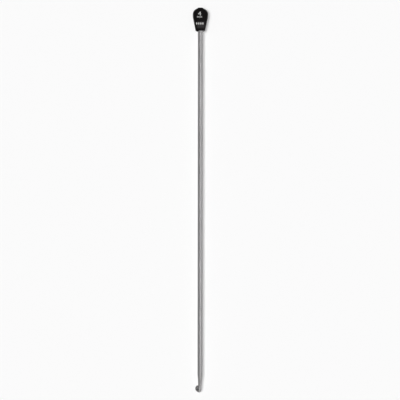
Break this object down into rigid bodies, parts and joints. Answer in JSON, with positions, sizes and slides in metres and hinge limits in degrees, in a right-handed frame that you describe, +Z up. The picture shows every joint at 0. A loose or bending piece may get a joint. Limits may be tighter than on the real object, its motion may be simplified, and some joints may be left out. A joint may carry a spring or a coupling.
{
  "type": "tunisian crochet hook",
  "caption": "Long straight metal crochet hook with a tapered neck and a formed barb at one end and a flat-faced, pear-shaped stopper knob at the other.",
  "frame": {"origin": "on the surface that the hook lies on, under the middle of its bounding box", "axes": "+Y along the rod from the hook to the knob, +Z up, out of the knob's upper flat face, +X to the right, away from the barb"},
  "size_m": [0.0118, 0.3, 0.006],
  "materials": {
    "rod": "satin drawn",
    "knob": "satin moulded"
  },
  "bodies": {
    "root": {"hook_rod": "rod", "end_knob": "knob"}
  },
  "joints": []
}
